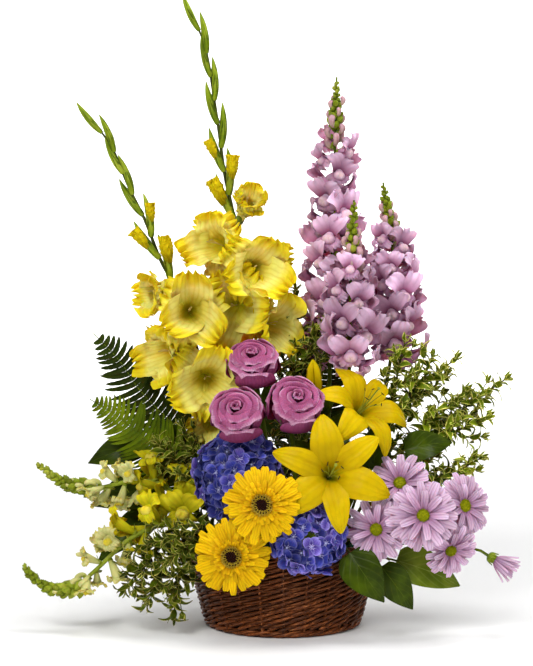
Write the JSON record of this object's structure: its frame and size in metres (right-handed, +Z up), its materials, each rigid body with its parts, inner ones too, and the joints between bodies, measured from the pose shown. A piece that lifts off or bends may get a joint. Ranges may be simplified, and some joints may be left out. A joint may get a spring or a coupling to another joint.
{
  "type": "flower basket arrangement",
  "caption": "One-sided arrangement of gladioli, snapdragons, roses, lilies, gerberas, daisies and hydrangeas with fern and leaves, standing in foam in a low round wicker basket.",
  "frame": {"origin": "centre of the basket's flat underside", "axes": "+Z up the arrangement, the flowers face -Y, +X to the right as seen from the front"},
  "size_m": [0.5653, 0.2925, 0.7335],
  "materials": {
    "wicker": "dark stained willow, satin",
    "wicker_border": "dark stained willow, satin",
    "liner": "smooth",
    "foam": "matte, open-celled, soaked with water",
    "stem": "satin, fresh green stem",
    "gladiolus": "soft petal",
    "lavender": "soft petal",
    "rose": "velvety petal",
    "hydrangea": "soft petal",
    "gerbera": "soft petal",
    "lily": "waxy petal",
    "daisy": "soft petal",
    "cream": "soft petal",
    "fern": "matte leaf",
    "salal": "glossy leaf",
    "variegated": "satin leaf"
  },
  "bodies": {
    "root": {"basket_body": "wicker", "basket_foot": "wicker_border", "basket_rim": "wicker_border", "daisy_back": "daisy", "daisy_bud": "daisy", "daisy_left": "daisy", "daisy_low": "daisy", "daisy_middle": "daisy", "daisy_right": "daisy", "daisy_stems": "stem", "fern_back": "fern", "fern_dark": "fern", "fern_light": "fern", "floral_foam": "foam", "gerbera_lower": "gerbera", "gerbera_lower_stem": "stem", "gerbera_upper": "gerbera", "gerbera_upper_stem": "stem", "gladiolus_left_floret_1": "gladiolus", "gladiolus_left_floret_2": "gladiolus", "gladiolus_left_floret_3": "gladiolus", "gladiolus_left_floret_4": "gladiolus", "gladiolus_left_floret_5": "gladiolus", "gladiolus_left_stem": "stem", "gladiolus_right_floret_1": "gladiolus", "gladiolus_right_floret_2": "gladiolus", "gladiolus_right_floret_3": "gladiolus", "gladiolus_right_floret_4": "gladiolus", "gladiolus_right_floret_5": "gladiolus", "gladiolus_right_stem": "stem", "hydrangea_lower": "hydrangea", "hydrangea_upper": "hydrangea", "lily_bud": "lily", "lily_front": "lily", "lily_side": "lily", "lily_stem": "stem", "liner": "liner", "rose_left": "rose", "rose_left_stem": "stem", "rose_right": "rose", "rose_right_stem": "stem", "rose_top": "rose", "rose_top_stem": "stem", "salal_back": "salal", "salal_left": "salal", "salal_lower_right": "salal", "salal_upper_right": "salal", "snapdragon_middle_florets": "lavender", "snapdragon_middle_stem": "stem", "snapdragon_right_florets": "lavender", "snapdragon_right_stem": "stem", "snapdragon_tall_florets": "lavender", "snapdragon_tall_stem": "stem", "variegated_centre": "variegated", "variegated_lower_left": "variegated", "variegated_lower_right": "variegated", "variegated_upper_left": "variegated", "variegated_upper_right": "variegated", "yellow_snapdragon_lower": "cream", "yellow_snapdragon_upper": "cream"}
  },
  "joints": []
}
